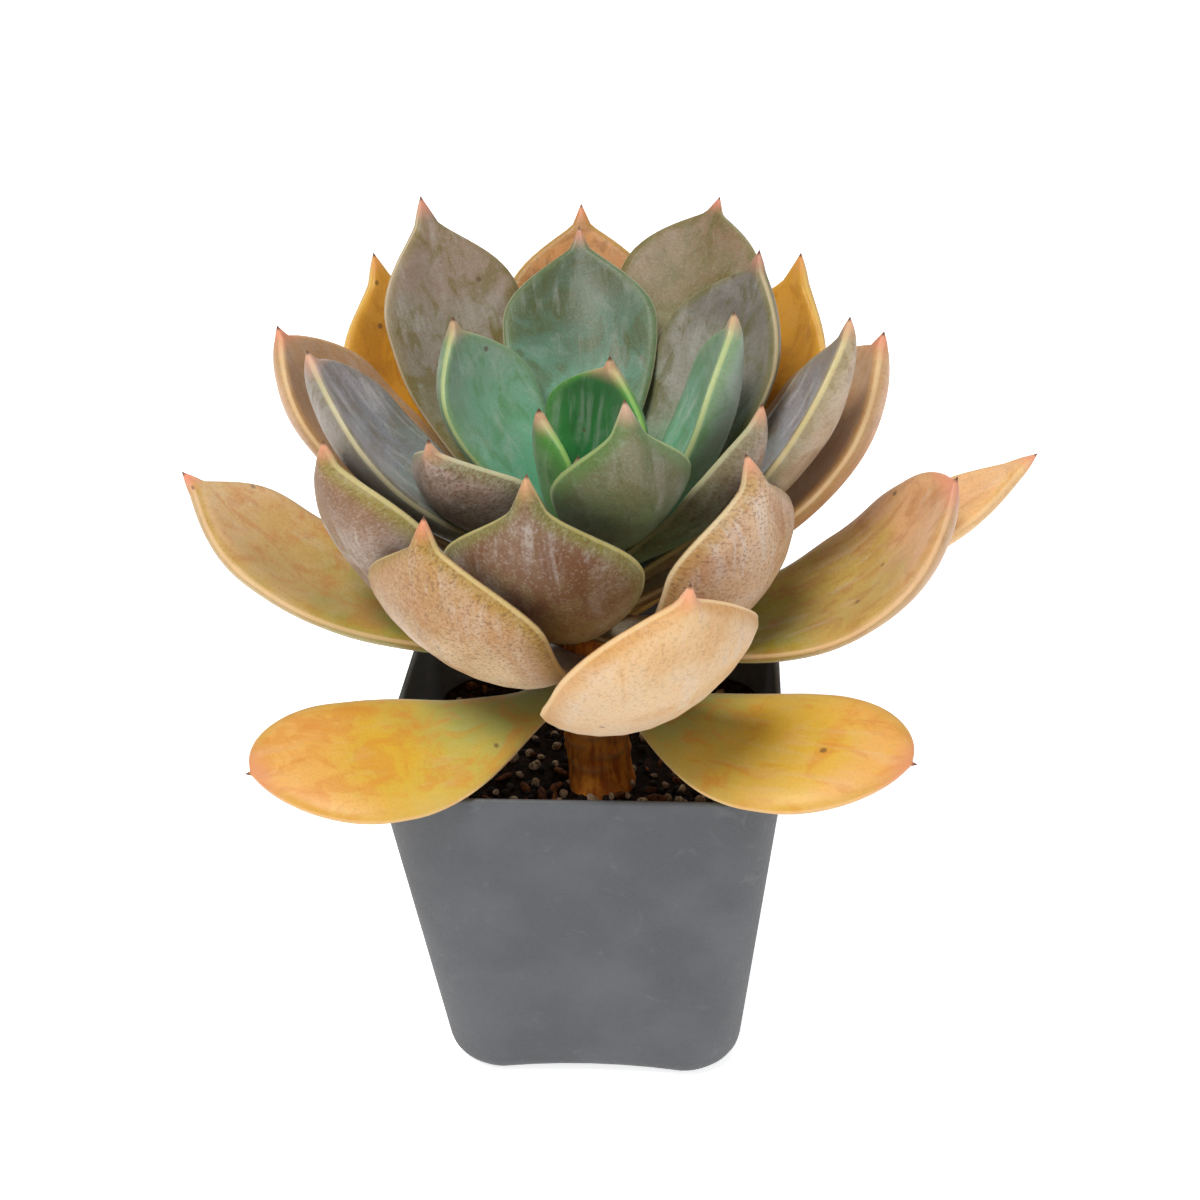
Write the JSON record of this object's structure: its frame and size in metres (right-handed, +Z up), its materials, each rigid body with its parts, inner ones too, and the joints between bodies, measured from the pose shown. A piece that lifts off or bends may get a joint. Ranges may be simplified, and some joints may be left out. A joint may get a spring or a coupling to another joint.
{
  "type": "potted succulent",
  "caption": "Rosette succulent with broad pointed leaves on a short bare stem, rooted in potting mix in a small square tapered nursery pot.",
  "frame": {"origin": "middle of the pot's underside, on the surface the pot stands on", "axes": "+Z up the plant; the pot's flat sides face X and Y, and -Y is the side the picture looks at"},
  "size_m": [0.1253, 0.0983, 0.1235],
  "materials": {
    "pot": "moulded polypropylene, matte, slate grey",
    "mix": "loose peat, bark and pumice grit, matte",
    "stem": "bare corky stem with old leaf scars",
    "leaf_yellow": "oldest leaves turned yellow, waxy",
    "leaf_orange": "ageing leaves blushed orange, waxy",
    "leaf_peach": "leaves blushed peach, waxy bloom",
    "leaf_mauve": "leaves blushed mauve, waxy bloom",
    "leaf_blue": "grey-blue leaves, waxy bloom",
    "leaf_green": "young blue-green leaves, waxy bloom",
    "leaf_heart": "youngest leaves, deep green, waxy bloom"
  },
  "bodies": {
    "root": {"pot": "pot", "potting_mix": "mix", "stem": "stem", "leaf_01": "leaf_yellow", "leaf_02": "leaf_yellow", "leaf_03": "leaf_peach", "leaf_04": "leaf_yellow", "leaf_05": "leaf_peach", "leaf_06": "leaf_orange", "leaf_07": "leaf_peach", "leaf_08": "leaf_peach", "leaf_09": "leaf_orange", "leaf_10": "leaf_orange", "leaf_11": "leaf_mauve", "leaf_12": "leaf_peach", "leaf_13": "leaf_mauve", "leaf_14": "leaf_peach", "leaf_15": "leaf_peach", "leaf_16": "leaf_mauve", "leaf_17": "leaf_mauve", "leaf_18": "leaf_mauve", "leaf_19": "leaf_mauve", "leaf_20": "leaf_blue", "leaf_21": "leaf_mauve", "leaf_22": "leaf_green", "leaf_23": "leaf_blue", "leaf_24": "leaf_green", "leaf_25": "leaf_green", "leaf_26": "leaf_green", "leaf_27": "leaf_heart", "leaf_28": "leaf_heart", "leaf_29": "leaf_heart"}
  },
  "joints": []
}
